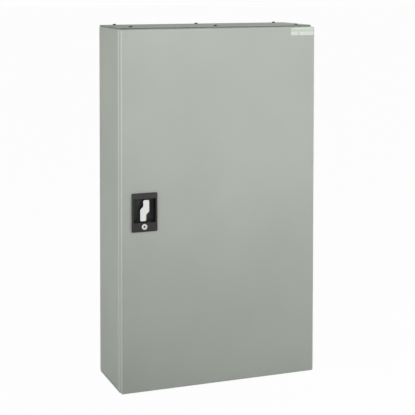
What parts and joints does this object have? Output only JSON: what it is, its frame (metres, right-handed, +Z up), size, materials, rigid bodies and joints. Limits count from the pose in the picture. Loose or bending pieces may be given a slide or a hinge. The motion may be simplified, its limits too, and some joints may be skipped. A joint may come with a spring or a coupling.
{
  "type": "residential load center",
  "caption": "Wall-mounted steel load center with a full-height hinged door, quarter-turn latch, removable end plates and circuit breakers behind an inner cover.",
  "frame": {"origin": "centre of the back face, on the wall", "axes": "+Z up, +Y into the wall so the door faces -Y, +X to the right seen from the front"},
  "size_m": [0.43, 0.1645, 0.7519],
  "materials": {
    "enclosure_paint": "grey-green textured powder coat",
    "end_plate_paint": "grey-green powder coat",
    "seal": "matte",
    "end_screw": "blackened steel",
    "latch_black": "fine grained glass-filled nylon",
    "handle_light": "satin",
    "lock_metal": "satin chrome",
    "zinc": "zinc plated",
    "label": "coated label, blank",
    "cover_paint": "light grey powder coat",
    "copper": "bare copper, brushed",
    "brass": "satin",
    "support_red": "moulded insulator",
    "switch_grey": "moulded",
    "breaker_white": "moulded, fine texture",
    "toggle_black": "semi-gloss",
    "pocket_grey": "moulded",
    "strip_grey": "moulded"
  },
  "bodies": {
    "root": {"back_box": "enclosure_paint", "blanking_strip_left": "strip_grey", "blanking_strip_right": "strip_grey", "bottom_end_plate": "end_plate_paint", "bottom_screw_1": "end_screw", "bottom_screw_2": "end_screw", "bottom_screw_3": "end_screw", "bottom_screw_4": "end_screw", "breaker_1": "breaker_white", "breaker_2": "breaker_white", "breaker_3": "breaker_white", "breaker_4": "breaker_white", "breaker_5": "breaker_white", "breaker_6": "breaker_white", "breaker_7": "breaker_white", "breaker_8": "breaker_white", "busbar_l1": "copper", "busbar_l2": "copper", "busbar_l3": "copper", "busbar_support_lower": "support_red", "busbar_support_upper": "support_red", "cover_screw_1": "zinc", "cover_screw_2": "zinc", "cover_screw_3": "zinc", "cover_screw_4": "zinc", "earth_bar": "brass", "hinge_bracket_lower": "zinc", "hinge_bracket_upper": "zinc", "hinge_pin_lower": "zinc", "hinge_pin_upper": "zinc", "inner_cover": "cover_paint", "main_switch_body": "switch_grey", "mounting_pan": "zinc", "neutral_bar": "brass", "top_end_plate": "end_plate_paint", "top_gasket": "seal", "top_screw_1": "end_screw", "top_screw_2": "end_screw", "top_screw_3": "end_screw", "top_screw_4": "end_screw", "top_screw_5": "end_screw", "top_screw_6": "end_screw"},
    "door": {"door_panel": "enclosure_paint", "door_gasket": "seal", "chart_pocket": "pocket_grey", "rating_label": "label", "latch_bezel": "latch_black", "latch_clamp": "zinc"},
    "handle": {"latch_handle": "handle_light", "latch_cam": "zinc"},
    "lock": {"lock_barrel": "lock_metal"},
    "main_toggle": {"main_switch_toggle": "toggle_black"},
    "toggle_1": {"breaker_toggle_1": "toggle_black"},
    "toggle_2": {"breaker_toggle_2": "toggle_black"},
    "toggle_3": {"breaker_toggle_3": "toggle_black"},
    "toggle_4": {"breaker_toggle_4": "toggle_black"},
    "toggle_5": {"breaker_toggle_5": "toggle_black"},
    "toggle_6": {"breaker_toggle_6": "toggle_black"},
    "toggle_7": {"breaker_toggle_7": "toggle_black"},
    "toggle_8": {"breaker_toggle_8": "toggle_black"}
  },
  "joints": [
    {"name": "door_hinge", "type": "hinge", "parent": "root", "child": "door", "pos_m": [0.2095, -0.155, 0], "axis": [0, 0, 1], "range_deg": [0, 120]},
    {"name": "handle_turn", "type": "hinge", "parent": "door", "child": "handle", "pos_m": [-0.1662, -0.162, 0.0032], "axis": [0, -1, 0], "range_deg": [0, 90]},
    {"name": "lock_turn", "type": "hinge", "parent": "door", "child": "lock", "pos_m": [-0.1664, -0.16, -0.0301], "axis": [0, -1, 0], "range_deg": [-90, 0]},
    {"name": "main_switch_throw", "type": "hinge", "parent": "root", "child": "main_toggle", "pos_m": [0, -0.08, 0.2425], "axis": [1, 0, 0], "range_deg": [0, 76]},
    {"name": "breaker_throw_1", "type": "hinge", "parent": "root", "child": "toggle_1", "pos_m": [-0.062, -0.0835, 0.11], "axis": [0, 0, -1], "range_deg": [0, 76]},
    {"name": "breaker_throw_2", "type": "hinge", "parent": "root", "child": "toggle_2", "pos_m": [-0.062, -0.0835, 0.0557], "axis": [0, 0, -1], "range_deg": [0, 76]},
    {"name": "breaker_throw_3", "type": "hinge", "parent": "root", "child": "toggle_3", "pos_m": [-0.062, -0.0835, 0.0014], "axis": [0, 0, -1], "range_deg": [0, 76]},
    {"name": "breaker_throw_4", "type": "hinge", "parent": "root", "child": "toggle_4", "pos_m": [-0.062, -0.0835, -0.0529], "axis": [0, 0, -1], "range_deg": [0, 76]},
    {"name": "breaker_throw_5", "type": "hinge", "parent": "root", "child": "toggle_5", "pos_m": [0.062, -0.0835, 0.11], "axis": [0, 0, 1], "range_deg": [0, 76]},
    {"name": "breaker_throw_6", "type": "hinge", "parent": "root", "child": "toggle_6", "pos_m": [0.062, -0.0835, 0.0557], "axis": [0, 0, 1], "range_deg": [0, 76]},
    {"name": "breaker_throw_7", "type": "hinge", "parent": "root", "child": "toggle_7", "pos_m": [0.062, -0.0835, 0.0014], "axis": [0, 0, 1], "range_deg": [0, 76]},
    {"name": "breaker_throw_8", "type": "hinge", "parent": "root", "child": "toggle_8", "pos_m": [0.062, -0.0835, -0.0529], "axis": [0, 0, 1], "range_deg": [0, 76]}
  ]
}
